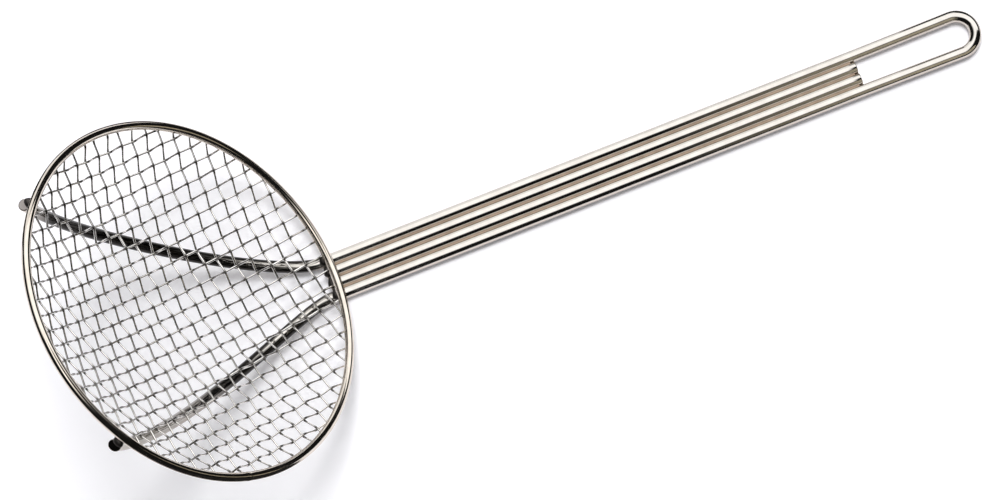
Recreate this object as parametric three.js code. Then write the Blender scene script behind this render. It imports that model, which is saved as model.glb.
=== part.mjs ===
// Round wire-mesh skimmer: a wire hoop, a shallow bowl woven from crimped wire, and a handle of four wires.
// One long bent wire makes both ribs under the bowl, the two outer handle wires and the hanging loop. It is drawn
// as three pieces: each side with its rib, and the loop.
// Millimetres. X runs along the handle towards the loop, Z is up, and the handle lies flat at the bottom.
import * as THREE from 'three';

// Wire diameters
const HANDLE_WIRE = 5.0; // handle wires and ribs
const RIM_WIRE = 4.0; // hoop
const MESH_WIRE = 1.0; // woven wires

// Main sizes
const RIM_DIAMETER = 161; // across the hoop, to the middle of its wire
const RIM_TILT = THREE.MathUtils.degToRad(42); // tilt of the hoop, and slope of the ribs' curve under it
const MESH_SLOPE = THREE.MathUtils.degToRad(32); // slope of the woven bowl at the hoop, from the hoop's plane
const HANDLE_LENGTH = 297; // from under the hoop to the outer end of the loop
const INNER_WIRE_REACH = 240; // from under the hoop to the ends of the two inner wires
const INNER_WIRE_STUB = 4; // how far the inner wires run on inside the hoop
const LOOP_WIDTH = 16.6; // across the hanging loop, to the middle of its wire

// Ribs, measured along the bowl's rim plane
const RIB_TIP_ANGLE = THREE.MathUtils.degToRad(41.5); // each side of the point opposite the handle
const RIB_TIP_REACH = 1.2; // how far the tips stand out past the middle of the hoop's wire
const RIB_TIP_SPREAD = THREE.MathUtils.degToRad(8); // of a rib's direction from the handle's, at its tip
const RIB_START_PULL = 13; // how far each end keeps its own direction, which is the handle's at the start
const RIB_END_PULL = 82;
const RIB_BEND = 12; // length of the bend between handle and rib

// Woven mesh
const MESH_PITCH = 6.8; // step from wire to wire along the bowl
const MESH_TURN = THREE.MathUtils.degToRad(12); // turn of the weave from the handle's direction
const SHORTEST_WIRE = 30; // shorter wires would lie along the hoop and are left out

// Gaps that keep the pieces apart
const CLEARANCE = 0.3; // between pieces that are welded or lie on each other
const MESH_GAP = 0.25; // between two woven wires at a crossing
const MESH_END_GAP = 0.3; // between a woven wire's end and the hoop

// Facets
const WIRE_SIDES = 12;
const MESH_SIDES = 4;
const RIM_STEPS = 72;
const RIB_STEPS = 24;
const RIB_BEND_STEPS = 4;
const LOOP_STEPS = 15;

// Radii and places that follow from the sizes above
const handleRadius = HANDLE_WIRE / 2;
const wirePitch = HANDLE_WIRE + CLEARANCE;
const outerWireY = 1.5 * wirePitch;
const rimRadius = RIM_DIAMETER / 2;
const underRim = (RIM_WIRE + HANDLE_WIRE) / 2 + CLEARANCE;
const handleSphere = rimRadius / Math.sin(RIM_TILT) + underRim;
const ribSphere = Math.hypot(handleSphere, outerWireY);

// Half of the weave's height at a crossing, so that two sloping wires still clear each other there
const crimp = (MESH_WIRE + MESH_GAP) / 2 / (1 - MESH_WIRE / MESH_PITCH);
const meshUnderRim = RIM_WIRE / 2 - crimp - MESH_WIRE / 2;
const meshSphere = rimRadius / Math.sin(MESH_SLOPE) + meshUnderRim;

// The rim plane's own directions: towards the handle, across it, and up out of the bowl
const towardsHandle = new THREE.Vector3(Math.cos(RIM_TILT), 0, -Math.sin(RIM_TILT));
const acrossBowl = new THREE.Vector3(0, 1, 0);
const outOfBowl = new THREE.Vector3(Math.sin(RIM_TILT), 0, Math.cos(RIM_TILT));

// Middles of the hoop, of the ribs' sphere and of the shallower woven bowl's sphere
const rimCentre = new THREE.Vector3(0, 0, handleRadius + underRim).addScaledVector(towardsHandle, -rimRadius);
const ribCentre = rimCentre.clone().addScaledVector(outOfBowl, rimRadius / Math.tan(RIM_TILT));
const meshCentre = rimCentre.clone().addScaledVector(outOfBowl, rimRadius / Math.tan(MESH_SLOPE));

const handleFinish = new THREE.MeshStandardMaterial({ color: 0xc9c6c0, metalness: 1, roughness: 0.16 });
const rimFinish = new THREE.MeshStandardMaterial({ color: 0xc6c3bd, metalness: 1, roughness: 0.18 });
const meshFinish = new THREE.MeshStandardMaterial({ color: 0xb9b5ae, metalness: 1, roughness: 0.28 });

// A wire's centre line: given points, each with the direction that its section holds upward.
class WirePath extends THREE.Curve {
  constructor(points, ups) {
    super();
    this.points = points;
    this.ups = ups;
  }

  getPoint(t, target = new THREE.Vector3()) {
    const along = t * (this.points.length - 1);
    const index = Math.min(Math.floor(along), this.points.length - 2);
    return target.lerpVectors(this.points[index], this.points[index + 1], along - index);
  }

  getSpacedPoints() {
    return this.points;
  }

  computeFrenetFrames() {
    const last = this.points.length - 1;
    const tangents = this.points.map((point, index) => {
      const before = this.points[Math.max(index - 1, 0)];
      const after = this.points[Math.min(index + 1, last)];
      return new THREE.Vector3().subVectors(after, before).normalize();
    });
    const binormals = tangents.map((tangent, index) => tangent.clone().cross(this.ups[index]).normalize());
    const normals = tangents.map((tangent, index) => binormals[index].clone().cross(tangent).normalize());
    return { tangents, normals, binormals };
  }
}

// A wire's section: a polygon with a flat side on each axis.
function wireSection(diameter, sides) {
  const corner = diameter / 2 / Math.cos(Math.PI / sides);
  const points = [];
  for (let side = 0; side < sides; side += 1) {
    const angle = (2 * Math.PI * (side + 0.5)) / sides;
    points.push(new THREE.Vector2(corner * Math.cos(angle), corner * Math.sin(angle)));
  }
  return new THREE.Shape(points);
}

function wireMesh(name, points, ups, diameter, sides, material) {
  const extrudePath = new WirePath(points, ups);
  const options = { steps: points.length - 1, extrudePath, bevelEnabled: false };
  const mesh = new THREE.Mesh(new THREE.ExtrudeGeometry(wireSection(diameter, sides), options), material);
  mesh.name = name;
  return mesh;
}

// The point of a sphere that lies under a place in the rim plane.
function onSphere(along, across, centre, radius) {
  const depth = Math.sqrt(radius * radius - along * along - across * across);
  return centre
    .clone()
    .addScaledVector(towardsHandle, along)
    .addScaledVector(acrossBowl, across)
    .addScaledVector(outOfBowl, -depth);
}

function directionTo(centre, point) {
  return new THREE.Vector3().subVectors(centre, point).normalize();
}

function makeRim() {
  const geometry = new THREE.TorusGeometry(rimRadius, RIM_WIRE / 2, WIRE_SIDES, RIM_STEPS);
  const rim = new THREE.Mesh(geometry, rimFinish);
  rim.name = 'rim_hoop';
  rim.position.copy(rimCentre);
  rim.rotation.y = RIM_TILT;
  return rim;
}

// Plan of a rib in the rim plane, from the handle to its tip, on the side of positive Y.
function ribPlan() {
  const tipRadius = rimRadius + RIB_TIP_REACH;
  const start = new THREE.Vector2(rimRadius, outerWireY);
  const tip = new THREE.Vector2(-tipRadius * Math.cos(RIB_TIP_ANGLE), tipRadius * Math.sin(RIB_TIP_ANGLE));
  const leave = new THREE.Vector2(-1, 0);
  const arrive = new THREE.Vector2(-Math.cos(RIB_TIP_SPREAD), Math.sin(RIB_TIP_SPREAD));
  return new THREE.CubicBezierCurve(
    start,
    start.clone().addScaledVector(leave, RIB_START_PULL),
    tip.clone().addScaledVector(arrive, -RIB_END_PULL),
    tip
  );
}

// A rib from its tip, the bend under the hoop, and an outer handle wire. side is 1 for positive Y, or -1.
function makeOuterWire(name, side) {
  const onRibs = (place) => onSphere(place.x, place.y, ribCentre, ribSphere);
  const ribToTip = ribPlan().getSpacedPoints(RIB_STEPS).map(onRibs);
  const rib = ribToTip.filter((point) => point.x < -RIB_BEND / 2);
  const bend = new THREE.QuadraticBezierCurve3(
    rib[0],
    onSphere(rimRadius, outerWireY, ribCentre, ribSphere),
    new THREE.Vector3(RIB_BEND / 2, outerWireY, handleRadius)
  );
  const points = rib.reverse().concat(bend.getPoints(RIB_BEND_STEPS).slice(1));
  points.push(new THREE.Vector3(INNER_WIRE_REACH, outerWireY, handleRadius));
  const ups = points.map((point) => (point.x < 0 ? directionTo(ribCentre, point) : new THREE.Vector3(0, 0, 1)));
  const toSide = (vector) => new THREE.Vector3(vector.x, side * vector.y, vector.z);
  return wireMesh(name, points.map(toSide), ups.map(toSide), HANDLE_WIRE, WIRE_SIDES, handleFinish);
}

// The hanging loop goes on from both outer handle wires and closes in a half circle.
function makeHangingLoop() {
  const loopRadius = LOOP_WIDTH / 2;
  const loopStart = HANDLE_LENGTH - handleRadius - loopRadius;
  const legEnd = (side) => new THREE.Vector3(INNER_WIRE_REACH + CLEARANCE, side * outerWireY, handleRadius);
  const points = [legEnd(1)];
  for (let step = 0; step <= LOOP_STEPS; step += 1) {
    const angle = (Math.PI * step) / LOOP_STEPS;
    const x = loopStart + loopRadius * Math.sin(angle);
    points.push(new THREE.Vector3(x, loopRadius * Math.cos(angle), handleRadius));
  }
  points.push(legEnd(-1));
  const ups = points.map(() => new THREE.Vector3(0, 0, 1));
  return wireMesh('hanging_loop', points, ups, HANDLE_WIRE, WIRE_SIDES, handleFinish);
}

function makeInnerWire(name, y) {
  const points = [-INNER_WIRE_STUB, INNER_WIRE_REACH].map((x) => new THREE.Vector3(x, y, handleRadius));
  const ups = points.map(() => new THREE.Vector3(0, 0, 1));
  return wireMesh(name, points, ups, HANDLE_WIRE, WIRE_SIDES, handleFinish);
}

// A place in the weave, in wire steps along and across it, put on the bowl and lifted off it by the crimp.
function inWeave(alongSteps, acrossSteps, lift) {
  const along = meshSphere * Math.sin((alongSteps * MESH_PITCH) / meshSphere);
  const across = meshSphere * Math.sin((acrossSteps * MESH_PITCH) / meshSphere);
  const turnedAlong = along * Math.cos(MESH_TURN) - across * Math.sin(MESH_TURN);
  const turnedAcross = along * Math.sin(MESH_TURN) + across * Math.cos(MESH_TURN);
  const point = onSphere(turnedAlong, turnedAcross, meshCentre, meshSphere);
  return point.addScaledVector(directionTo(meshCentre, point), lift);
}

// Half of a woven wire's length in wire steps: it stops short of the hoop, measured where the two come closest.
function wireHalfLength(acrossSteps) {
  const rimReach = RIM_WIRE / 2 + MESH_END_GAP + MESH_WIRE * Math.SQRT1_2;
  const besideRim = Math.sqrt(rimReach ** 2 - meshUnderRim ** 2);
  const edge = meshSphere * Math.sin(MESH_SLOPE - besideRim / meshSphere);
  const across = meshSphere * Math.sin((acrossSteps * MESH_PITCH) / meshSphere);
  const half = Math.sqrt(Math.max(edge ** 2 - across ** 2, 0));
  return (meshSphere * Math.asin(half / meshSphere)) / MESH_PITCH;
}

// One woven wire: straight pieces between crossings, over and under in turn, and a cut end at each side.
// index counts the wire from the middle of its family, and its crossings are the whole steps along it.
function makeWovenWire(name, index, parity, place) {
  const half = wireHalfLength(index);
  const steps = [-half];
  for (let step = Math.ceil(-half); step < half; step += 1) steps.push(step);
  steps.push(half);
  const liftAt = (step) => {
    const phase = THREE.MathUtils.euclideanModulo(step + index + parity, 2);
    return crimp * (2 * Math.abs(phase - 1) - 1);
  };
  const points = steps.map((step) => place(step, index, liftAt(step)));
  const ups = points.map((point) => directionTo(meshCentre, point));
  return wireMesh(name, points, ups, MESH_WIRE, MESH_SIDES, meshFinish);
}

// Both families of woven wires, numbered from one side of the bowl to the other.
function makeWeave() {
  const weave = new THREE.Group();
  const families = [
    { name: 'lengthwise_wire', parity: 0, place: (along, across, lift) => inWeave(along, across, lift) },
    { name: 'crosswise_wire', parity: 1, place: (along, across, lift) => inWeave(across, along, lift) },
  ];
  const isLongEnough = (index) => 2 * wireHalfLength(index) * MESH_PITCH >= SHORTEST_WIRE;
  let outermost = 0;
  while (isLongEnough(outermost + 1)) outermost += 1;
  for (const family of families) {
    for (let index = -outermost; index <= outermost; index += 1) {
      const number = String(index + outermost + 1).padStart(2, '0');
      weave.add(makeWovenWire(`${family.name}_${number}`, index, family.parity, family.place));
    }
  }
  return weave;
}

function makeSkimmer() {
  const skimmer = new THREE.Group();
  skimmer.add(makeOuterWire('outer_wire_left', 1));
  skimmer.add(makeOuterWire('outer_wire_right', -1));
  skimmer.add(makeHangingLoop());
  skimmer.add(makeInnerWire('inner_wire_left', wirePitch / 2));
  skimmer.add(makeInnerWire('inner_wire_right', -wirePitch / 2));
  skimmer.add(makeRim());
  skimmer.add(makeWeave());
  const box = new THREE.Box3().setFromObject(skimmer, true);
  const middle = box.getCenter(new THREE.Vector3());
  skimmer.position.set(-middle.x, -middle.y, -box.min.z);
  return skimmer;
}

export default makeSkimmer();
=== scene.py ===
import math

import bpy
import numpy as np
from mathutils import Matrix, Vector


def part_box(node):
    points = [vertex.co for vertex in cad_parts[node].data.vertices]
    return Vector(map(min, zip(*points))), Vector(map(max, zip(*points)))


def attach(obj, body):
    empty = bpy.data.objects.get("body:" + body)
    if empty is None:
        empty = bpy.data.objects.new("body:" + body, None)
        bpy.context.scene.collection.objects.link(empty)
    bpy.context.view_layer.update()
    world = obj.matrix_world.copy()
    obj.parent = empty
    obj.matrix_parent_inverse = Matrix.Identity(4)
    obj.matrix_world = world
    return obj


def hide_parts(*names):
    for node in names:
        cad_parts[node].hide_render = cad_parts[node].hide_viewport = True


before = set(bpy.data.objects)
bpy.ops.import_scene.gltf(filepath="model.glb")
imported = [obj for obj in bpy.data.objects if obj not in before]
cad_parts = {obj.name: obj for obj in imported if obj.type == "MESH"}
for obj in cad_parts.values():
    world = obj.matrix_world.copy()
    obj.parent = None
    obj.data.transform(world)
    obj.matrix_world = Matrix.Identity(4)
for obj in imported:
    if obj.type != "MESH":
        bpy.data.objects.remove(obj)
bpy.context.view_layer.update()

# Wire diameters: the handle wires lie almost against each other
HANDLE_WIRE = 0.00526
RIM_WIRE = 0.0039
MESH_WIRE = 0.00096

# Main sizes. The dressed hoop is a little smaller than the solid one, and the inner wires reach further
RIM_RADIUS = 0.0805  # of the solid hoop, to the middle of its wire
HOOP_RADIUS = 0.0799  # of the dressed hoop
RIM_TILT = math.radians(42)
MESH_SLOPE = math.radians(32)  # of the woven bowl at the hoop
WIRE_PITCH = 0.0053  # from handle wire to handle wire
UNDER_RIM = 0.0048  # from the middle of the hoop's wire down to the middle of a handle wire
SOLID_HANDLE_WIRE = 0.0050
HANDLE_LENGTH = 0.2969  # from under the hoop to the outer end of the loop
INNER_WIRE_REACH = 0.241
INNER_WIRE_STUB = 0.004
LOOP_WIDTH = 0.0166
OUTER_WIRE_Y = 1.5 * WIRE_PITCH

# Ribs, drawn in the hoop's plane and dropped on a sphere
RIB_TIP_ANGLE = math.radians(41.5)
RIB_TIP_REACH = 0.0012
RIB_TIP_SPREAD = math.radians(8)
RIB_START_PULL = 0.013
RIB_END_PULL = 0.082
RIB_BEND = 0.012

# Weave
MESH_PITCH = 0.0068
MESH_TURN = math.radians(12)
MESH_UNDER_RIM = 0.000766  # how far the weave's middle lies under the hoop's middle
MESH_CRIMP = 0.00078  # half of the weave's height, between wire middles
CRIMP_SHARPNESS = 0.93  # 0 bends like a wave, 1 is a zigzag
CROSSING_REACH = 0.0010  # of the painted shade where woven wires cross
CROSSING_SWELL = 0.06  # they are pressed a little wider there
WEAVE_OUTERMOST = 11  # wires each side of the middle one
WELD_SINK = 0.00025  # how far woven wires run into the hoop

# Facets
WIRE_SIDES = 28
RIM_SIDES = 24
MESH_SIDES = 10
RIM_STEPS = 288
RIB_SAMPLES = 400
RIB_STEPS = 72
BEND_STEPS = 12
HANDLE_STEPS = 30
LEG_STEPS = 12  # of the hanging loop's straight sides
LOOP_STEPS = 33
INNER_WIRE_STEPS = 48
MESH_STEPS = 12  # rings from crossing to crossing
EDGE_BREAK = 0.00045  # rounding of the cut ends
MESH_EDGE_BREAK = 0.00012
EDGE_RINGS = 4
BEAD_RINGS = 9
BEAD_SIDES = 16
BEAD_UV_SIZE = 0.001
RIB_CUT_SLANT = 0.45  # how far the cut of the right rib's tip leans, as a slope

# Painted shade on the flanks of the handle wires, by the angle from the top
GROOVE_START = math.radians(45)
GROOVE_END = math.radians(75)

# Ribs darkened by a painted dark reflection: by the angle from the top, and by the distance from the hoop
PAINTED_DARK_START = math.radians(8)  # near the hoop a line along the top stays bright
PAINTED_DARK_CLOSED = math.radians(-30)  # the same, where that line has ended
PAINTED_DARK_END = math.radians(32)
PAINTED_DARK_UNDER = (math.radians(105), math.radians(135))  # the undersides stay bright
PAINTED_DARK_LINE = (0.030, 0.060)  # where the bright line gets narrower and ends
PAINTED_DARK_FADE = 0.010  # how far the darkening fades out at the hoop
PAINTED_DARK_TIP_FADE = 0.006  # and at the ribs' tips
PAINTED_DARK_RIGHT_PLACES = (0.058, 0.078, 0.104, 0.112)  # the right rib is paler towards its tip
PAINTED_DARK_RIGHT_SHARES = (1.0, 0.35, 0.35, 1.0)

# Strips that fill the bottom of the grooves between handle wires, coloured tan as a painted reflection
GROOVE_SEAM_WIDTH = 0.0008
GROOVE_SEAM_SAG = 0.00008
GROOVE_SEAM_DEPTH = 0.0004
GROOVE_SEAM_MARGIN = 0.002  # from the inner wires' ends

# Weld beads: half sizes along the wire, across it and upward, and the lumps on them
BEAD_LENGTH = 0.0020
BEAD_WIDTH = 0.0026
BEAD_HEIGHT = 0.0012
BEAD_INSIDE = 0.0027  # how far they lie inside the hoop
BEAD_LUMPS = 0.10
BEAD_LUMP_COUNT = 3
BEAD_LUMP_TURN = 40  # turns the lumps from bead to bead

# Butt weld in the hoop
BUTT_WELD_ANGLE = math.radians(266)
BUTT_WELD_SWELL = 0.06
BUTT_WELD_LENGTH = 0.0011
BUTT_WELD_SPAN = 4  # of finer rings each side, in such lengths
BUTT_WELD_RINGS = 25

# Camera, from the fit to the photograph
CAMERA_AIM = Vector((-0.018908, -0.019127, 0.020064))
CAMERA_DISTANCE = 2.12449
CAMERA_AZIMUTH = math.radians(-97.546)
CAMERA_ELEVATION = math.radians(77.152)
CAMERA_ROLL = math.radians(-13.966)
CAMERA_LENS = 180.0
CAMERA_SENSOR = 36.0

# Studio: a strip overhead, a wide bank and a white screen behind, in a dark room with a white floor
SOFTBOX_LIGHT = 1.6
LAMP_LIGHT = 1.85  # casts the shadows, and isn't seen in the metal
LAMP_SPREAD = math.radians(22)
LAMP_ASIDE = 0.12  # slopes of the direction towards it
LAMP_BACK = 0.30
SCREEN_LIGHT = 1.2
ROOM_LIGHT = 0.01
STRIP_FRONT = -0.33  # edges, as the slope of the direction from the zenith
STRIP_FRONT_BLUR = 0.17
STRIP_HALF_WIDTH = 0.25
STRIP_BLUR = 0.10
BANK_FRONT = 0.14
BANK_LEFT = -0.4
BANK_RIGHT = 2.3
BANK_END_BLUR = 0.4
SOFTBOX_BACK = 1.35
SOFTBOX_BLUR = 0.06
SCREEN_WIDTH = 0.42  # half of it, as the slope of the direction from +Y
FLOOR_SIZE = 40.0
FLOOR_GLOW = 0.13

# Dark cards and a grey one around the object, which only show in the metal
CARD_HALF_LENGTH = 0.50
CARD_HALF_WIDTH = 0.34
CARD_HEIGHT = 0.12
CARD_ABOVE_FLOOR = 0.0002
CARD_STEP = 2.5  # degrees
NEVER_ZERO = 0.001  # keeps divisions finite
WALL_ARCS = ((-140, 65), (115, 140))  # in degrees from +X, open for the screen and behind the bowl
FLOOR_CARD_ARC = (-140, 140)
BARE_HALF_LENGTH = 0.222  # of the floor that the camera sees, which the cards leave bare
BARE_HALF_WIDTH = 0.116
GREY_CARD_Y = -0.20
GREY_CARD_LEFT = 0.09
GREY_CARD_RIGHT = 0.45
GREY_CARD_FOOT = 0.065
GREY_CARD_TOP = 0.37

# The solids' own origin lies under the hoop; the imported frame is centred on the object's box
HOOP_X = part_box("inner_wire_left")[0].x + INNER_WIRE_STUB
TOWARDS_HANDLE = np.array([math.cos(RIM_TILT), 0.0, -math.sin(RIM_TILT)])
ACROSS_BOWL = np.array([0.0, 1.0, 0.0])
OUT_OF_BOWL = np.array([math.sin(RIM_TILT), 0.0, math.cos(RIM_TILT)])
UNDER_HOOP = np.array([HOOP_X, 0.0, SOLID_HANDLE_WIRE / 2 + UNDER_RIM])
RIM_CENTRE = UNDER_HOOP - RIM_RADIUS * TOWARDS_HANDLE
RIB_CENTRE = RIM_CENTRE + RIM_RADIUS / math.tan(RIM_TILT) * OUT_OF_BOWL
SOLID_RIB_SPHERE = math.hypot(RIM_RADIUS / math.sin(RIM_TILT) + UNDER_RIM, OUTER_WIRE_Y)
RIB_SPHERE = SOLID_RIB_SPHERE - (HANDLE_WIRE - SOLID_HANDLE_WIRE) / 2
MESH_CENTRE = RIM_CENTRE + RIM_RADIUS / math.tan(MESH_SLOPE) * OUT_OF_BOWL
MESH_SPHERE = RIM_RADIUS / math.sin(MESH_SLOPE) + MESH_UNDER_RIM
HANDLE_Z = HANDLE_WIRE / 2


def on_sphere(plan, centre, radius):
    """Points of a sphere that lie under places in the hoop's plane, given along and across it."""
    depth = np.sqrt(radius ** 2 - (plan ** 2).sum(axis=1))
    return (centre + plan[:, :1] * TOWARDS_HANDLE + plan[:, 1:] * ACROSS_BOWL
            - depth[:, None] * OUT_OF_BOWL)


def unit(rows):
    return rows / np.linalg.norm(rows, axis=-1, keepdims=True)


def even_steps(points, count):
    """The same line with evenly spaced points."""
    lengths = np.concatenate([[0.0], np.cumsum(np.linalg.norm(np.diff(points, axis=0), axis=1))])
    places = np.linspace(0.0, lengths[-1], count)
    return np.stack([np.interp(places, lengths, points[:, axis]) for axis in range(3)], axis=1)


# Tubes

def ring_frames(points, closed, up):
    """Two directions across the wire at each point, turning no more than the wire does."""
    if closed:
        tangents = unit(np.roll(points, -1, axis=0) - np.roll(points, 1, axis=0))
    else:
        tangents = unit(np.gradient(points, axis=0))
    across = []
    guide = np.array(up, dtype=float)
    for tangent in tangents:
        guide = guide - tangent * tangent.dot(guide)
        guide = guide / np.linalg.norm(guide)
        across.append(guide)
    across = np.array(across)
    return tangents, across, np.cross(tangents, across)


def with_cut_ends(points, radii, edge):
    """Adds rounded edges to both ends of an open wire."""
    turns = np.linspace(0.0, math.pi / 2, EDGE_RINGS)
    inward = edge * (1 - np.cos(turns))[:, None]
    drop = edge * (1 - np.sin(turns))
    head = points[0] + inward * unit(points[1] - points[0])
    tail = points[-1] + inward * unit(points[-2] - points[-1])
    stations = np.concatenate([head, points[1:-1], tail[::-1]])
    return stations, np.concatenate([radii[0] - drop, radii[1:-1], radii[-1] - drop[::-1]])


def slant_end(vertices, points, tangents, slope):
    """Leans the last rings of a wire, so that its cut isn't square."""
    rings = slice(len(points) - EDGE_RINGS, len(points))
    from_middle = vertices[rings] - points[rings, None]
    vertices[rings] += (from_middle @ slope)[..., None] * tangents[rings, None]


def groove_painted_shade(angles):
    """Painted shade around a wire: none on top, full on the flanks and below. Angles count from the
    underside.
    """
    from_top = abs(angles - math.pi)
    return np.clip((from_top - GROOVE_START) / (GROOVE_END - GROOVE_START), 0.0, 1.0)


def painted_dark_reflection(points, angles):
    """How much painted dark reflection the ribs take along and around the wire. Angles count from the
    underside.
    """
    from_hoop = HOOP_X - points[:, 0]
    along = np.clip(from_hoop / PAINTED_DARK_FADE, 0.0, 1.0)
    along *= np.clip((from_hoop.max() - from_hoop) / PAINTED_DARK_TIP_FADE, 0.0, 1.0)
    right = points[:, 1] < 0
    along[right] *= np.interp(from_hoop[right], PAINTED_DARK_RIGHT_PLACES, PAINTED_DARK_RIGHT_SHARES)
    from_top = abs(angles - math.pi)
    start = np.interp(from_hoop, PAINTED_DARK_LINE, (PAINTED_DARK_START, PAINTED_DARK_CLOSED))
    beside = np.clip((from_top[None, :] - start[:, None]) / (PAINTED_DARK_END - PAINTED_DARK_START), 0.0, 1.0)
    return along[:, None] * beside * np.interp(from_top, PAINTED_DARK_UNDER, (1.0, 0.0))


def add_layer(piece, name, values):
    layer = piece.data.attributes.new(name=name, type="FLOAT", domain="POINT")
    layer.data.foreach_set("value", values.ravel())


def tube(name, points, radii, sides, up, closed=False, edge=0.0, slant=None, painted_shade=None, handle=False):
    """A round wire along the points. Its UV map runs along the wire in metres, and once around it."""
    if painted_shade is None:
        painted_shade = np.zeros(len(points))
    if not closed:
        points, radii = with_cut_ends(points, radii, edge)
        painted_shade = np.pad(painted_shade, EDGE_RINGS - 1, mode="edge")
    tangents, across, beside = ring_frames(points, closed, up)
    angles = np.linspace(0.0, 2 * math.pi, sides, endpoint=False)
    circle = (np.cos(angles)[None, :, None] * -across[:, None]
              + np.sin(angles)[None, :, None] * beside[:, None])
    vertices = points[:, None] + radii[:, None, None] * circle
    if slant is not None:
        slant_end(vertices, points, tangents, np.array(slant))
    vertices = vertices.reshape(-1, 3)
    around_wire = groove_painted_shade(angles) if handle else np.zeros(sides)
    steps = np.linalg.norm(np.diff(points, axis=0, append=points[:1]), axis=1)
    lengths = np.concatenate([[0.0], np.cumsum(steps)])
    count = len(points)
    faces = []
    uvs = []
    for ring in range(count if closed else count - 1):
        following = (ring + 1) % count
        for side in range(sides):
            beyond = (side + 1) % sides
            faces.append((ring * sides + side, ring * sides + beyond,
                          following * sides + beyond, following * sides + side))
            low, high = side / sides, (side + 1) / sides
            uvs += [(lengths[ring], low), (lengths[ring], high),
                    (lengths[ring + 1], high), (lengths[ring + 1], low)]
    if not closed:
        caps = [range(sides)[::-1], range((count - 1) * sides, count * sides)]
        for place, cap in zip((0.0, lengths[count - 1]), caps):
            faces.append(tuple(cap))
            uvs += [(place, side / sides) for side in range(sides)]
    piece = mesh_object(name, vertices, faces, uvs, flat_faces=0 if closed else 2)
    # painted shade: darker flanks on the handle wires, and darker where the woven wires cross
    add_layer(piece, "painted_shade", np.maximum(painted_shade[:, None], around_wire[None, :]))
    if handle:
        # painted dark reflection over the ribs, leaving a bright line along the top and bright undersides
        add_layer(piece, "painted_dark_reflection", painted_dark_reflection(points, angles))
    return piece


def mesh_object(name, vertices, faces, uvs, flat_faces=0):
    mesh = bpy.data.meshes.new(name)
    mesh.from_pydata(vertices.tolist(), [], faces)
    layer = mesh.uv_layers.new(name="wire")
    layer.data.foreach_set("uv", np.array(uvs, dtype=float).ravel())
    smooth = [True] * (len(faces) - flat_faces) + [False] * flat_faces
    mesh.polygons.foreach_set("use_smooth", smooth)
    mesh.update()
    piece = bpy.data.objects.new(name, mesh)
    bpy.context.scene.collection.objects.link(piece)
    return piece


def add_piece(piece, material, slot, *nodes):
    """Gives a piece its material, or a wire's own and those of its two cut ends, and sets it in the frame."""
    materials = material if isinstance(material, tuple) else (material,)
    for entry in materials:
        piece.data.materials.append(entry)
    if len(materials) == 3:
        piece.data.polygons[-2].material_index = 1
        piece.data.polygons[-1].material_index = 2
    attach(piece, "root")
    if nodes:
        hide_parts(*nodes)


# Handle and ribs

def bezier(start, start_pull, end_pull, end, count):
    t = np.linspace(0.0, 1.0, count)[:, None]
    return ((1 - t) ** 3 * start + 3 * t * (1 - t) ** 2 * start_pull
            + 3 * t ** 2 * (1 - t) * end_pull + t ** 3 * end)


def rib_line():
    """Middle of the rib on the side of positive Y, from its tip to the place under the hoop."""
    tip_radius = RIM_RADIUS + RIB_TIP_REACH
    start = np.array([RIM_RADIUS, OUTER_WIRE_Y])
    tip = tip_radius * np.array([-math.cos(RIB_TIP_ANGLE), math.sin(RIB_TIP_ANGLE)])
    leave = np.array([-1.0, 0.0])
    arrive = np.array([-math.cos(RIB_TIP_SPREAD), math.sin(RIB_TIP_SPREAD)])
    plan = bezier(start, start + RIB_START_PULL * leave, tip - RIB_END_PULL * arrive, tip, RIB_SAMPLES)
    return on_sphere(plan, RIB_CENTRE, RIB_SPHERE)[::-1]


def outer_side():
    """One side of the frame wire: rib, bend and handle wire up to where the hanging loop starts to curve."""
    rib = rib_line()
    rib = even_steps(rib[rib[:, 0] < HOOP_X - RIB_BEND / 2], RIB_STEPS)
    corner = np.array([HOOP_X, OUTER_WIRE_Y, HANDLE_Z])
    after = corner + np.array([RIB_BEND / 2, 0.0, 0.0])
    t = np.linspace(0.0, 1.0, BEND_STEPS)[1:, None]
    bend = (1 - t) ** 2 * rib[-1] + 2 * t * (1 - t) * corner + t ** 2 * after
    loop_x = HOOP_X + HANDLE_LENGTH - HANDLE_WIRE / 2 - LOOP_WIDTH / 2
    loop_start = np.array([loop_x, LOOP_WIDTH / 2, HANDLE_Z])
    waist = np.array([HOOP_X + INNER_WIRE_REACH, OUTER_WIRE_Y, HANDLE_Z])
    straight = np.linspace(after, waist, HANDLE_STEPS)[1:]
    leg = np.linspace(waist, loop_start, LEG_STEPS)[1:]
    return np.concatenate([rib, bend, straight, leg])


def frame_wire(material):
    side = outer_side()
    middle = side[-1] * np.array([1.0, 0.0, 1.0])
    turns = np.linspace(0.0, math.pi, LOOP_STEPS)[1:-1]
    half_circle = middle + LOOP_WIDTH / 2 * np.stack([np.sin(turns), np.cos(turns), 0 * turns], axis=1)
    points = np.concatenate([side, half_circle, side[::-1] * np.array([1.0, -1.0, 1.0])])
    radii = np.full(len(points), HANDLE_WIRE / 2)
    piece = tube("frame_wire", points, radii, WIRE_SIDES, (0, 0, 1), edge=EDGE_BREAK,
                 slant=(0.0, RIB_CUT_SLANT, 0.0), handle=True)
    add_piece(piece, material, "handle_wire", "outer_wire_left", "outer_wire_right", "hanging_loop")


def inner_wires(material):
    for name, y in (("inner_wire_left", WIRE_PITCH / 2), ("inner_wire_right", -WIRE_PITCH / 2)):
        ends = [np.array([HOOP_X + x, y, HANDLE_Z]) for x in (-INNER_WIRE_STUB, INNER_WIRE_REACH)]
        points = np.linspace(ends[0], ends[1], INNER_WIRE_STEPS)
        radii = np.full(len(points), HANDLE_WIRE / 2)
        piece = tube("dressed_" + name, points, radii, WIRE_SIDES, (0, 0, 1), edge=EDGE_BREAK, handle=True)
        add_piece(piece, material, "handle_wire", name)


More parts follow.
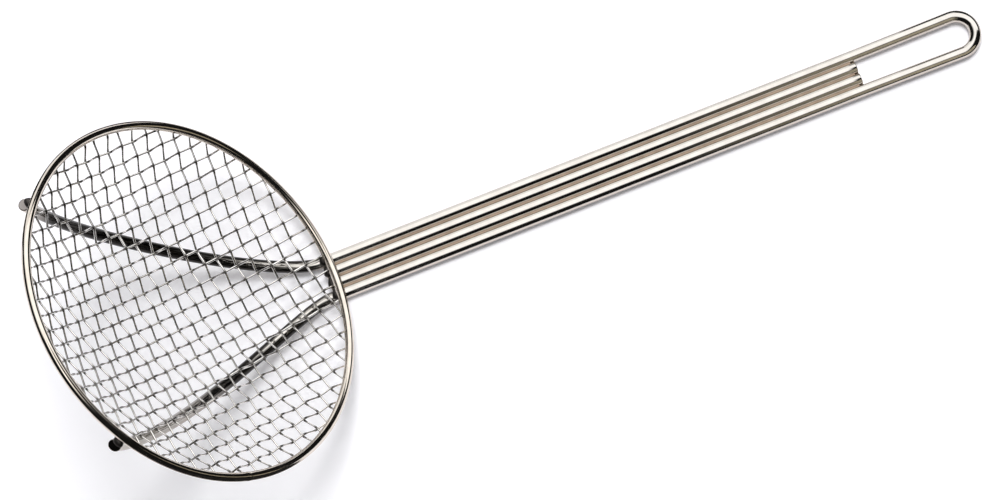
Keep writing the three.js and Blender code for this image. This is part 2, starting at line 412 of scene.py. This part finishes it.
def groove_seams(material):
    """A slightly hollow strip in each of the three grooves between the handle wires, closed below."""
    half = GROOVE_SEAM_WIDTH / 2
    beside = WIRE_PITCH / 2 - half
    top = HANDLE_Z + math.sqrt((HANDLE_WIRE / 2) ** 2 - beside ** 2)
    bottom = top - GROOVE_SEAM_DEPTH
    profile = np.array([(-half, top), (0.0, top - GROOVE_SEAM_SAG), (half, top),
                        (half, bottom), (-half, bottom)])
    ends = np.array([HOOP_X - INNER_WIRE_STUB + GROOVE_SEAM_MARGIN,
                     HOOP_X + INNER_WIRE_REACH - GROOVE_SEAM_MARGIN])
    count = len(profile)
    for place in (-1, 0, 1):
        vertices = np.array([(x, place * WIRE_PITCH + y, z) for x in ends for y, z in profile])
        faces = [(corner, (corner + 1) % count, count + (corner + 1) % count, count + corner)
                 for corner in range(count)]
        faces += [tuple(range(count))[::-1], tuple(range(count, 2 * count))]
        places = vertices[:, :2] / (1.0, GROOVE_SEAM_WIDTH)
        uvs = [tuple(places[corner]) for face in faces for corner in face]
        piece = mesh_object(f"groove_seam_{place + 2}", vertices, faces, uvs, flat_faces=len(faces))
        add_piece(piece, material, "handle_wire")


# Hoop and weave

def hoop_points(angles):
    return (RIM_CENTRE + HOOP_RADIUS * np.cos(angles)[:, None] * TOWARDS_HANDLE
            + HOOP_RADIUS * np.sin(angles)[:, None] * ACROSS_BOWL)


def rim_hoop(material):
    angles = np.linspace(0.0, 2 * math.pi, RIM_STEPS, endpoint=False)
    near_weld = np.linspace(-BUTT_WELD_SPAN, BUTT_WELD_SPAN, BUTT_WELD_RINGS) * BUTT_WELD_LENGTH / RIM_RADIUS
    angles = np.sort(np.concatenate([angles, BUTT_WELD_ANGLE + near_weld]))
    points = hoop_points(angles)
    from_weld = (angles - BUTT_WELD_ANGLE) * RIM_RADIUS / BUTT_WELD_LENGTH
    radii = RIM_WIRE / 2 * (1 + BUTT_WELD_SWELL * np.exp(-from_weld ** 2))
    piece = tube("dressed_rim_hoop", points, radii, RIM_SIDES, OUT_OF_BOWL, closed=True)
    add_piece(piece, material, "rim_wire", "rim_hoop")


def weld_bead(name, middle, material):
    """A lump of weld metal: a squashed ball with uneven sides."""
    rings, sides = BEAD_RINGS, BEAD_SIDES
    down = np.linspace(0.0, math.pi, rings)[1:-1]
    turns = np.linspace(0.0, 2 * math.pi, sides, endpoint=False)
    waves = np.sin(BEAD_LUMP_COUNT * turns + BEAD_LUMP_TURN * middle[1] / BEAD_WIDTH)
    wide = np.sin(down)[:, None]
    lumps = 1 + BEAD_LUMPS * waves[None, :] * wide
    half = np.array([BEAD_LENGTH, BEAD_WIDTH, BEAD_HEIGHT])
    ball = np.stack([lumps * wide * np.cos(turns), lumps * wide * np.sin(turns),
                     np.cos(down)[:, None] + 0 * lumps], axis=2).reshape(-1, 3)
    ball = np.concatenate([ball, [(0, 0, 1), (0, 0, -1)]])
    top, bottom = len(ball) - 2, len(ball) - 1
    faces = []
    for side in range(sides):
        beyond = (side + 1) % sides
        last = (rings - 3) * sides
        faces.append((top, side, beyond))
        faces.append((bottom, last + beyond, last + side))
        for ring in range(rings - 3):
            low, high = (ring + 1) * sides, ring * sides
            faces.append((high + side, low + side, low + beyond, high + beyond))
    uvs = [tuple(ball[corner, :2] * BEAD_UV_SIZE) for face in faces for corner in face]
    add_piece(mesh_object(name, middle + half * ball, faces, uvs), material, "rim_wire")


def weld_beads(material):
    """Where the hoop sits on the four handle wires, and on the two ribs near their tips."""
    for place, wire in enumerate((-1.5, -0.5, 0.5, 1.5)):
        middle = np.array([HOOP_X - BEAD_INSIDE, wire * WIRE_PITCH, HANDLE_WIRE + BEAD_HEIGHT / 2])
        weld_bead(f"handle_weld_{place + 1}", middle, material)
    rim = hoop_points(np.linspace(math.pi / 2, math.pi, RIB_SAMPLES))
    rib = rib_line()[:RIB_SAMPLES // 2]
    apart = np.linalg.norm(rib[:, None] - rim[None, :], axis=2)
    on_rib, on_rim = np.unravel_index(apart.argmin(), apart.shape)
    middle = (rib[on_rib] + rim[on_rim]) / 2
    weld_bead("rib_weld_left", middle, material)
    weld_bead("rib_weld_right", middle * np.array([1.0, -1.0, 1.0]), material)


def in_weave(along_steps, across_steps, lift):
    """Places in the weave, in wire steps along and across it, put on the bowl and lifted by the crimp."""
    along = MESH_SPHERE * np.sin(along_steps * MESH_PITCH / MESH_SPHERE)
    across = MESH_SPHERE * np.sin(across_steps * MESH_PITCH / MESH_SPHERE)
    turned = np.stack([along * math.cos(MESH_TURN) - across * math.sin(MESH_TURN),
                       along * math.sin(MESH_TURN) + across * math.cos(MESH_TURN)], axis=1)
    points = on_sphere(turned, MESH_CENTRE, MESH_SPHERE)
    return points + lift[:, None] * unit(MESH_CENTRE - points)


def wire_half_length(index):
    """Half of a woven wire's length in wire steps: it ends just inside the hoop."""
    beside_rim = math.sqrt((RIM_WIRE / 2 - WELD_SINK) ** 2 - MESH_UNDER_RIM ** 2)
    edge = MESH_SPHERE * math.sin(MESH_SLOPE - beside_rim / MESH_SPHERE)
    across = MESH_SPHERE * math.sin(index * MESH_PITCH / MESH_SPHERE)
    half = math.sqrt(edge ** 2 - across ** 2)
    return MESH_SPHERE * math.asin(half / MESH_SPHERE) / MESH_PITCH


def woven_wire(family, index, parity, material):
    half = wire_half_length(index)
    steps = np.linspace(-half, half, int(2 * half * MESH_STEPS))
    swing = CRIMP_SHARPNESS * np.cos(math.pi * (steps + index + parity))
    lift = MESH_CRIMP * np.arcsin(swing) / math.asin(CRIMP_SHARPNESS)
    beside = np.full_like(steps, index)
    if family == "lengthwise_wire":
        points = in_weave(steps, beside, lift)
    else:
        points = in_weave(beside, steps, lift)
    # painted shade where the woven wires cross, darkest at each crossing
    from_crossing = abs(steps - np.round(steps)) * MESH_PITCH / CROSSING_REACH
    painted_shade = np.exp(-from_crossing ** 2)
    radii = MESH_WIRE / 2 * (1 + CROSSING_SWELL * painted_shade)
    up = MESH_CENTRE - points[0]
    node = f"{family}_{index + WEAVE_OUTERMOST + 1:02d}"
    piece = tube("woven_" + node, points, radii, MESH_SIDES, up, edge=MESH_EDGE_BREAK, painted_shade=painted_shade)
    add_piece(piece, material, "mesh_wire", node)


def weave(material):
    for family, parity in (("lengthwise_wire", 0), ("crosswise_wire", 1)):
        for index in range(-WEAVE_OUTERMOST, WEAVE_OUTERMOST + 1):
            woven_wire(family, index, parity, material)


# Materials

# Sockets of a Mix node that mixes colours
MIX_COLOR_A = 6
MIX_COLOR_B = 7
MIX_COLOR_RESULT = 2

# Nickel plate: cloudy patches, and draw lines along the wire
CLOUD_SCALE = 180.0
CLOUD_DETAIL = 4.0
CLOUD_EDGES = (0.35, 0.65)
DRAW_LINE_STRETCH = (40.0, 9.0, 1.0)  # in each metre along the wire, and in each turn around it
DRAW_LINE_DETAIL = 3.0
DRAW_LINE_EDGES = (0.3, 0.7)
DRAW_LINE_BUMP = 0.12
DRAW_LINE_DEPTH = 0.00001

# Stage cards
FLOOR_GRAIN = 400.0
CARD_MOTTLE = 30.0
GREY_CARD_BLACK = 0.33  # share of its length where it goes from black to grey


def node_material(name):
    material = bpy.data.materials.new(name)
    material.use_nodes = True
    nodes = material.node_tree.nodes
    return material, nodes, material.node_tree.links, nodes["Principled BSDF"]


def ramp(nodes, links, value, low, high, edges=(0.0, 1.0)):
    """A colour that goes from low to high as the value passes the edges."""
    shade = nodes.new("ShaderNodeValToRGB")
    for element, position, color in zip(shade.color_ramp.elements, edges, (low, high)):
        element.position = position
        element.color = (*color, 1.0)
    links.new(value, shade.inputs["Fac"])
    return shade.outputs["Color"]


def nickel(name, bright, dull, painted_layers, smooth, rough):
    """Nickel plate on drawn wire: cloudy colour, painted shade and painted dark reflection by point layer,
    and fine draw lines along it.
    """
    material, nodes, links, shader = node_material(name)
    shader.inputs["Metallic"].default_value = 1.0
    place = nodes.new("ShaderNodeTexCoord")
    clouds = nodes.new("ShaderNodeTexNoise")
    clouds.inputs["Scale"].default_value = CLOUD_SCALE
    clouds.inputs["Detail"].default_value = CLOUD_DETAIL
    links.new(place.outputs["Object"], clouds.inputs["Vector"])
    color = ramp(nodes, links, clouds.outputs["Fac"], dull, bright, CLOUD_EDGES)
    for layer, painted_colour in painted_layers.items():
        cover = nodes.new("ShaderNodeAttribute")
        cover.attribute_name = layer
        mix = nodes.new("ShaderNodeMix")
        mix.data_type = "RGBA"
        mix.inputs[MIX_COLOR_B].default_value = (*painted_colour, 1.0)
        links.new(cover.outputs["Fac"], mix.inputs[0])
        links.new(color, mix.inputs[MIX_COLOR_A])
        color = mix.outputs[MIX_COLOR_RESULT]
    links.new(color, shader.inputs["Base Color"])
    along = nodes.new("ShaderNodeMapping")
    along.inputs["Scale"].default_value = DRAW_LINE_STRETCH
    links.new(place.outputs["UV"], along.inputs["Vector"])
    lines = nodes.new("ShaderNodeTexNoise")
    lines.inputs["Scale"].default_value = 1.0
    lines.inputs["Detail"].default_value = DRAW_LINE_DETAIL
    links.new(along.outputs["Vector"], lines.inputs["Vector"])
    polish = nodes.new("ShaderNodeMapRange")
    polish.inputs["From Min"].default_value = DRAW_LINE_EDGES[0]
    polish.inputs["From Max"].default_value = DRAW_LINE_EDGES[1]
    polish.inputs["To Min"].default_value = smooth
    polish.inputs["To Max"].default_value = rough
    links.new(lines.outputs["Fac"], polish.inputs["Value"])
    links.new(polish.outputs["Result"], shader.inputs["Roughness"])
    bump = nodes.new("ShaderNodeBump")
    bump.inputs["Strength"].default_value = DRAW_LINE_BUMP
    bump.inputs["Distance"].default_value = DRAW_LINE_DEPTH
    links.new(lines.outputs["Fac"], bump.inputs["Height"])
    links.new(bump.outputs["Normal"], shader.inputs["Normal"])
    return material


def white_floor():
    """White card: it takes shadows, and the glow that brings it up to white is only for what looks at it."""
    material, nodes, links, shader = node_material("white_card")
    shader.inputs["Roughness"].default_value = 0.9
    shader.inputs["Specular IOR Level"].default_value = 0.0
    shader.inputs["Emission Color"].default_value = (0.95, 0.95, 1.0, 1.0)
    grain = nodes.new("ShaderNodeTexNoise")
    grain.inputs["Scale"].default_value = FLOOR_GRAIN
    shade = ramp(nodes, links, grain.outputs["Fac"], (0.960, 0.955, 0.985), (0.970, 0.965, 0.995))
    links.new(shade, shader.inputs["Base Color"])
    path = nodes.new("ShaderNodeLightPath")
    seen = path.outputs["Is Camera Ray"]
    for output in ("Is Glossy Ray", "Is Transmission Ray"):
        either = nodes.new("ShaderNodeMath")
        either.operation = "MAXIMUM"
        links.new(seen, either.inputs[0])
        links.new(path.outputs[output], either.inputs[1])
        seen = either.outputs[0]
    glow = nodes.new("ShaderNodeMath")
    glow.operation = "MULTIPLY"
    glow.inputs[1].default_value = FLOOR_GLOW
    links.new(seen, glow.inputs[0])
    links.new(glow.outputs[0], shader.inputs["Emission Strength"])
    return material


def dark_card():
    """Matt black card with a faint mottle."""
    material, nodes, links, shader = node_material("dark_card")
    shader.inputs["Roughness"].default_value = 0.9
    shader.inputs["Specular IOR Level"].default_value = 0.1
    mottle = nodes.new("ShaderNodeTexNoise")
    mottle.inputs["Scale"].default_value = CARD_MOTTLE
    shade = ramp(nodes, links, mottle.outputs["Fac"], (0.012, 0.012, 0.012), (0.022, 0.022, 0.022))
    links.new(shade, shader.inputs["Base Color"])
    return material


def grey_card():
    """Olive-grey card, black at its left end."""
    material, nodes, links, shader = node_material("grey_card")
    shader.inputs["Roughness"].default_value = 0.9
    place = nodes.new("ShaderNodeTexCoord")
    split = nodes.new("ShaderNodeSeparateXYZ")
    links.new(place.outputs["UV"], split.inputs[0])
    black, olive = (0.01, 0.01, 0.01), (0.42, 0.38, 0.28)
    shade = ramp(nodes, links, split.outputs["X"], black, olive, (0.0, GREY_CARD_BLACK))
    links.new(shade, shader.inputs["Base Color"])
    return material


# Studio

def floor():
    half = FLOOR_SIZE / 2
    corners = np.array([(-half, -half, 0.0), (half, -half, 0.0), (half, half, 0.0), (-half, half, 0.0)])
    plane = mesh_object("floor", corners, [(0, 1, 2, 3)], [(0, 0), (1, 0), (1, 1), (0, 1)])
    plane.data.materials.append(white_floor())


def stage_card(name, low_edge, high_edge, material):
    """A card between two lines. It stands outside the picture, so only the metal's reflections show it."""
    count = len(low_edge)
    faces = [(place, place + 1, count + place + 1, count + place) for place in range(count - 1)]
    uvs = [(corner % count / (count - 1), corner // count) for face in faces for corner in face]
    card = mesh_object(name, np.concatenate([low_edge, high_edge]), faces, uvs)
    card.data.materials.append(material)
    card.visible_camera = False
    card.visible_diffuse = False
    card.visible_shadow = False


def arc(start, end):
    return np.radians(np.arange(start, end + 1, CARD_STEP))


def around(turns, half_length, half_width, height):
    return np.stack([half_length * np.cos(turns), half_width * np.sin(turns), 0 * turns + height], axis=1)


def dark_cards(material):
    """A low dark wall round the object, open behind it, and dark card on the floor outside the picture."""
    for start, end in WALL_ARCS:
        foot = around(arc(start, end), CARD_HALF_LENGTH, CARD_HALF_WIDTH, 0.0)
        stage_card(f"dark_wall_{end}", foot, foot + np.array([0.0, 0.0, CARD_HEIGHT]), material)
    turns = arc(*FLOOR_CARD_ARC)
    away = around(turns, 1.0, 1.0, 0.0)
    right, up = picture_axes()
    reach = np.minimum(BARE_HALF_LENGTH / np.maximum(abs(away @ right), NEVER_ZERO),
                       BARE_HALF_WIDTH / np.maximum(abs(away @ up), NEVER_ZERO))
    inner = np.array([CAMERA_AIM.x, CAMERA_AIM.y, CARD_ABOVE_FLOOR]) + reach[:, None] * away
    outer = around(turns, CARD_HALF_LENGTH, CARD_HALF_WIDTH, CARD_ABOVE_FLOOR)
    stage_card("dark_floor_card", inner, outer, material)


def standing_card(material):
    low = np.array([[x, GREY_CARD_Y, GREY_CARD_FOOT] for x in (GREY_CARD_LEFT, GREY_CARD_RIGHT)])
    high = low + np.array([0.0, 0.0, GREY_CARD_TOP - GREY_CARD_FOOT])
    stage_card("grey_card", low, high, material)


def soft_edge(nodes, links, value, start, end):
    """A factor that rises from 0 to 1 as the value goes from start to end."""
    edge = nodes.new("ShaderNodeMapRange")
    edge.interpolation_type = "SMOOTHSTEP"
    edge.inputs["From Min"].default_value = start
    edge.inputs["From Max"].default_value = end
    links.new(value, edge.inputs["Value"])
    return edge.outputs["Result"]


def combine(nodes, links, operation, first, second):
    step = nodes.new("ShaderNodeMath")
    step.operation = operation
    for socket, value in zip(step.inputs, (first, second)):
        if isinstance(value, float):
            socket.default_value = value
        else:
            links.new(value, socket)
    return step.outputs[0]


def panel(nodes, links, limits):
    """A lit rectangle of the sky, with soft edges."""
    light = SOFTBOX_LIGHT
    for value, edge, blur in limits:
        inside = soft_edge(nodes, links, value, edge + blur, edge - blur)
        light = combine(nodes, links, "MULTIPLY", inside, light)
    return light


def studio_light():
    """The world: its light depends on the direction alone."""
    world = bpy.data.worlds.new("studio")
    bpy.context.scene.world = world
    world.use_nodes = True
    nodes, links = world.node_tree.nodes, world.node_tree.links
    place = nodes.new("ShaderNodeTexCoord")
    split = nodes.new("ShaderNodeSeparateXYZ")
    links.new(place.outputs["Generated"], split.inputs[0])
    height = combine(nodes, links, "MAXIMUM", split.outputs["Z"], NEVER_ZERO)
    aside = combine(nodes, links, "DIVIDE", split.outputs["X"], height)
    back = combine(nodes, links, "DIVIDE", split.outputs["Y"], height)
    back_edge = (back, SOFTBOX_BACK, SOFTBOX_BLUR)
    strip = ((back, STRIP_FRONT, -STRIP_FRONT_BLUR), back_edge,
             (aside, -STRIP_HALF_WIDTH, -STRIP_BLUR), (aside, STRIP_HALF_WIDTH, STRIP_BLUR))
    bank = ((back, BANK_FRONT, -SOFTBOX_BLUR), back_edge,
            (aside, BANK_LEFT, -BANK_END_BLUR), (aside, BANK_RIGHT, BANK_END_BLUR))
    softbox = combine(nodes, links, "MAXIMUM", panel(nodes, links, strip), panel(nodes, links, bank))
    behind = combine(nodes, links, "MAXIMUM", split.outputs["Y"], NEVER_ZERO)
    sideways = combine(nodes, links, "ABSOLUTE", split.outputs["X"], 0.0)
    turned = combine(nodes, links, "DIVIDE", sideways, behind)
    screen = soft_edge(nodes, links, turned, SCREEN_WIDTH + SOFTBOX_BLUR, SCREEN_WIDTH - SOFTBOX_BLUR)
    screen = combine(nodes, links, "MULTIPLY", screen, SCREEN_LIGHT)
    lit = combine(nodes, links, "MAXIMUM", softbox, screen)
    light = combine(nodes, links, "MAXIMUM", lit, ROOM_LIGHT)
    links.new(light, nodes["Background"].inputs["Strength"])
    nodes["Background"].inputs["Color"].default_value = (1.0, 1.0, 1.0, 1.0)


def lamp():
    data = bpy.data.lights.new("lamp", type="SUN")
    data.energy = LAMP_LIGHT
    data.angle = LAMP_SPREAD
    light = bpy.data.objects.new("lamp", data)
    bpy.context.scene.collection.objects.link(light)
    towards_lamp = Vector((LAMP_ASIDE, LAMP_BACK, 1.0))
    light.rotation_euler = towards_lamp.to_track_quat("Z", "Y").to_euler()
    light.visible_glossy = False


def camera_axes():
    """The camera's right and up, and the direction towards it from the object."""
    flat = math.cos(CAMERA_ELEVATION)
    towards_camera = Vector((flat * math.cos(CAMERA_AZIMUTH), flat * math.sin(CAMERA_AZIMUTH),
                             math.sin(CAMERA_ELEVATION)))
    level_right = (-towards_camera).cross(Vector((0, 0, 1))).normalized()
    level_up = level_right.cross(-towards_camera)
    right = level_right * math.cos(CAMERA_ROLL) + level_up * math.sin(CAMERA_ROLL)
    return right, right.cross(-towards_camera), towards_camera


def picture_axes():
    """The picture's right and up, laid on the floor."""
    right, up, _ = camera_axes()
    return unit(np.array([right.x, right.y, 0.0])), unit(np.array([up.x, up.y, 0.0]))


def camera():
    data = bpy.data.cameras.new("camera")
    data.lens = CAMERA_LENS
    data.sensor_width = CAMERA_SENSOR
    data.sensor_fit = "HORIZONTAL"
    data.clip_end = 100.0
    right, up, towards_camera = camera_axes()
    eye = bpy.data.objects.new("camera", data)
    bpy.context.scene.collection.objects.link(eye)
    turn = Matrix((right, up, towards_camera)).transposed()
    eye.matrix_world = Matrix.Translation(CAMERA_AIM + CAMERA_DISTANCE * towards_camera) @ turn.to_4x4()
    bpy.context.scene.camera = eye


# painted shade on the handle wires' flanks, and painted dark reflection over the ribs
handle_painted_dark = {"painted_shade": (0.58, 0.52, 0.46), "painted_dark_reflection": (0.03, 0.028, 0.026)}
handle_nickel = nickel("handle_nickel", (0.65, 0.62, 0.58), (0.60, 0.57, 0.53), handle_painted_dark, 0.05, 0.10)
rim_nickel = nickel("rim_nickel", (0.72, 0.66, 0.59), (0.63, 0.57, 0.50), {}, 0.05, 0.11)
# painted shade where the woven wires cross
mesh_painted_shade = {"painted_shade": (0.12, 0.11, 0.10)}
mesh_nickel = nickel("mesh_nickel", (0.92, 0.90, 0.87), (0.84, 0.82, 0.79), mesh_painted_shade, 0.03, 0.07)
cut_nickel = nickel("cut_nickel", (0.78, 0.72, 0.69), (0.70, 0.64, 0.61), {}, 0.35, 0.5)
# near-black cut at the right rib's tip: a painted dark reflection
cut_painted_dark = nickel("cut_painted_dark", (0.05, 0.045, 0.04), (0.03, 0.028, 0.026), {}, 0.35, 0.5)
# tan strips in the grooves: a painted reflection of the tan seen deep between the wires
groove_painted_reflection = nickel("groove_painted_reflection", (0.43, 0.32, 0.24), (0.34, 0.25, 0.185), {}, 0.30, 0.45)
# near-black weld beads: partly the welds' own dark colour, partly painted shade at the joins
weld_metal_and_shade = nickel("weld_metal_and_shade", (0.10, 0.09, 0.085), (0.04, 0.036, 0.033), {}, 0.25, 0.5)
frame_wire((handle_nickel, cut_nickel, cut_painted_dark))
inner_wires((handle_nickel, cut_nickel, cut_nickel))
groove_seams(groove_painted_reflection)
rim_hoop(rim_nickel)
weld_beads(weld_metal_and_shade)
weave(mesh_nickel)
floor()
dark_cards(dark_card())
standing_card(grey_card())
studio_light()
lamp()
camera()
bpy.context.scene.view_settings.view_transform = "Standard"
